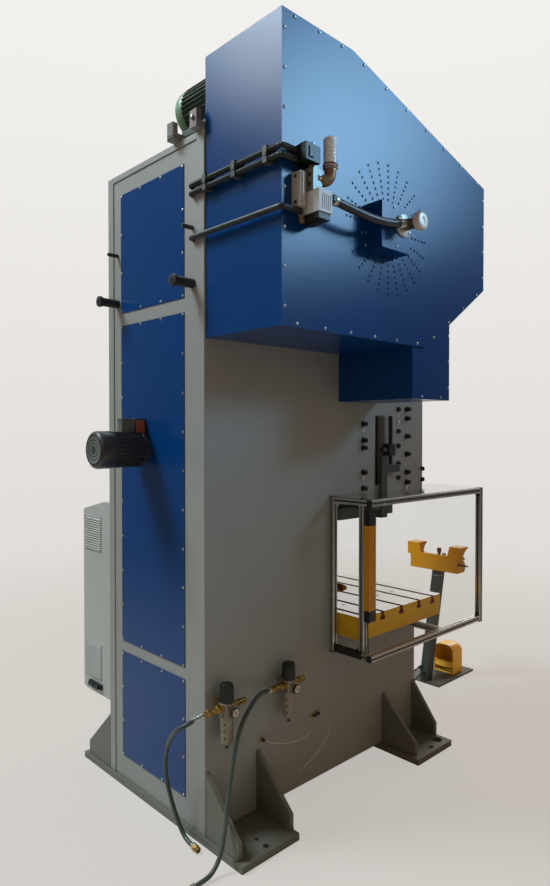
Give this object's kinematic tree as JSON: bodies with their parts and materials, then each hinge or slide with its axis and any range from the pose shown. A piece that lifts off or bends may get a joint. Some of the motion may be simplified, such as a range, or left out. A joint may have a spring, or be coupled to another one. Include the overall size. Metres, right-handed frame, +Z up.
{
  "type": "mechanical stamping press",
  "caption": "C-frame eccentric stamping press with slide, bolster, flywheel cover, side guards, air units, cabinet and two-hand control stand.",
  "frame": {"origin": "on the floor under the middle of the whole part, without its loose hoses and cables", "axes": "+Z up, -Y towards the operator, -X towards the flywheel cover"},
  "size_m": [1.737, 2.791, 3.172],
  "materials": {
    "frame_grey": "satin paint",
    "bolster_yellow": "paint, machined top",
    "slide_green": "satin paint",
    "bronze": "machined",
    "bolt_black": "black oxide",
    "forged_steel": "machined",
    "cast_grey": "cast",
    "belt_rubber": "matt",
    "motor_green": "paint",
    "cover_blue": "hammered paint",
    "plated_steel": "plated",
    "valve_metal": "die cast",
    "hose_rubber": "matt",
    "regulator_cast": "cast",
    "clear_bowl": "clear",
    "knob_black": "moulded",
    "hose_green": "smooth",
    "brass_fitting": "turned",
    "clear_tube": "clear",
    "pump_black": "paint",
    "cabinet_grey": "paint",
    "profile_aluminium": "anodised",
    "clear_sheet": "clear",
    "safety_yellow": "moulded",
    "button_green": "moulded",
    "button_red": "moulded"
  },
  "bodies": {
    "root": {"side_plate_left": "frame_grey", "side_plate_right": "frame_grey", "back_plate": "frame_grey", "cross_plates": "frame_grey", "bed_plate": "frame_grey", "rear_foot": "frame_grey", "front_foot": "frame_grey", "bolster": "bolster_yellow", "stand": "slide_green", "gibs": "bronze", "bearing_bushes": "bronze", "gib_bolts": "bolt_black", "lifting_pins": "bolt_black", "stroke_scale": "bolt_black", "drive_belt": "belt_rubber", "drive_motor": "motor_green", "motor_rails": "motor_green", "drive_cover": "cover_blue", "cover_side_panel": "cover_blue", "lower_cover": "cover_blue", "union_bracket": "cover_blue", "rear_panels": "cover_blue", "rotary_union": "plated_steel", "valve_block": "valve_metal", "silencer": "valve_metal", "clutch_hose": "hose_rubber", "duct_rails": "hose_rubber", "stand_cables": "hose_rubber", "regulator_bodies": "regulator_cast", "regulator_bowls": "clear_bowl", "floor_hose_rear": "hose_green", "floor_hose_front": "hose_green", "hose_couplings": "brass_fitting", "drain_tubes": "clear_tube", "pump_motor": "pump_black", "cabinet": "cabinet_grey", "guard_frame_left": "profile_aluminium", "guard_frame_right": "profile_aluminium", "guard_sheets": "clear_sheet", "light_curtains": "safety_yellow", "console": "safety_yellow", "pedal_hood": "safety_yellow"},
    "crank": {"crankshaft": "forged_steel", "main_gear": "forged_steel"},
    "rod": {"con_rod": "forged_steel"},
    "pinion": {"pinion_shaft": "forged_steel", "clutch": "bolt_black"},
    "flywheel": {"flywheel": "cast_grey"},
    "rotor": {"motor_pulley": "cast_grey"},
    "slide": {"slide": "slide_green", "slide_bracket": "slide_green"},
    "door": {"cabinet_door": "cabinet_grey"},
    "isolator": {"isolator_knob": "knob_black"},
    "knob_rear": {"regulator_knob_rear": "knob_black"},
    "knob_front": {"regulator_knob_front": "knob_black"},
    "palm_left": {"palm_button_left": "button_green"},
    "palm_right": {"palm_button_right": "button_green"},
    "stop": {"stop_button": "button_red"},
    "reset": {"reset_button": "knob_black"},
    "pedal": {"pedal": "knob_black"}
  },
  "joints": [
    {"name": "crank_turn", "type": "hinge", "parent": "root", "child": "crank", "pos_m": [0.1235, 0.0225, 2.48849], "axis": [1, 0, 0], "continuous": true},
    {"name": "con_rod_swing", "type": "hinge", "parent": "crank", "child": "rod", "pos_m": [0.1235, 0.0225, 2.57849], "axis": [1, 0, 0], "continuous": true},
    {"name": "pinion_spin", "type": "hinge", "parent": "root", "child": "pinion", "pos_m": [0.3235, 0.5185, 2.52], "axis": [1, 0, 0], "continuous": true},
    {"name": "flywheel_spin", "type": "hinge", "parent": "root", "child": "flywheel", "pos_m": [-0.4215, 0.5185, 2.52], "axis": [1, 0, 0], "continuous": true},
    {"name": "motor_spin", "type": "hinge", "parent": "root", "child": "rotor", "pos_m": [-0.4215, 1.0105, 3.055], "axis": [1, 0, 0], "continuous": true},
    {"name": "ram_slide", "type": "slide", "parent": "root", "child": "slide", "axis": [0, 0, 1], "range_m": [-0.18, 0]},
    {"name": "cabinet_door_hinge", "type": "hinge", "parent": "root", "child": "door", "pos_m": [0.8305, 0.4135, 0.8], "axis": [0, 0, -1], "range_deg": [0, 110]},
    {"name": "isolator_turn", "type": "hinge", "parent": "door", "child": "isolator", "pos_m": [0.8345, 0.763, 1.12], "axis": [1, 0, 0], "range_deg": [0, 90]},
    {"name": "regulator_turn_rear", "type": "hinge", "parent": "root", "child": "knob_rear", "pos_m": [-0.3075, 1.0735, 0.6], "axis": [0, 0, 1], "range_deg": [-720, 720]},
    {"name": "regulator_turn_front", "type": "hinge", "parent": "root", "child": "knob_front", "pos_m": [-0.3075, 0.7185, 0.6], "axis": [0, 0, 1], "range_deg": [-720, 720]},
    {"name": "palm_press_left", "type": "slide", "parent": "root", "child": "palm_left", "axis": [0, 0, -1], "range_m": [0, 0.008], "stiffness_N_per_m": 900, "springref_m": -0.006},
    {"name": "palm_press_right", "type": "slide", "parent": "root", "child": "palm_right", "axis": [0, 0, -1], "range_m": [0, 0.008], "stiffness_N_per_m": 900, "springref_m": -0.006},
    {"name": "stop_press", "type": "slide", "parent": "root", "child": "stop", "axis": [0, 0, -1], "range_m": [0, 0.006]},
    {"name": "reset_press", "type": "slide", "parent": "root", "child": "reset", "axis": [0, 0, -1], "range_m": [0, 0.004], "stiffness_N_per_m": 500, "springref_m": -0.004},
    {"name": "pedal_press", "type": "hinge", "parent": "root", "child": "pedal", "pos_m": [0.0935, -1.3115, 0.044], "axis": [-1, 0, 0], "range_deg": [0, 8], "stiffness_Nm_per_rad": 25, "springref_deg": -6.88}
  ],
  "couplings": [
    {"joint": "con_rod_swing", "follows": "crank_turn", "ratio": -1},
    {"joint": "pinion_spin", "follows": "crank_turn", "ratio": -2.5},
    {"joint": "motor_spin", "follows": "flywheel_spin", "ratio": 5.7333}
  ]
}
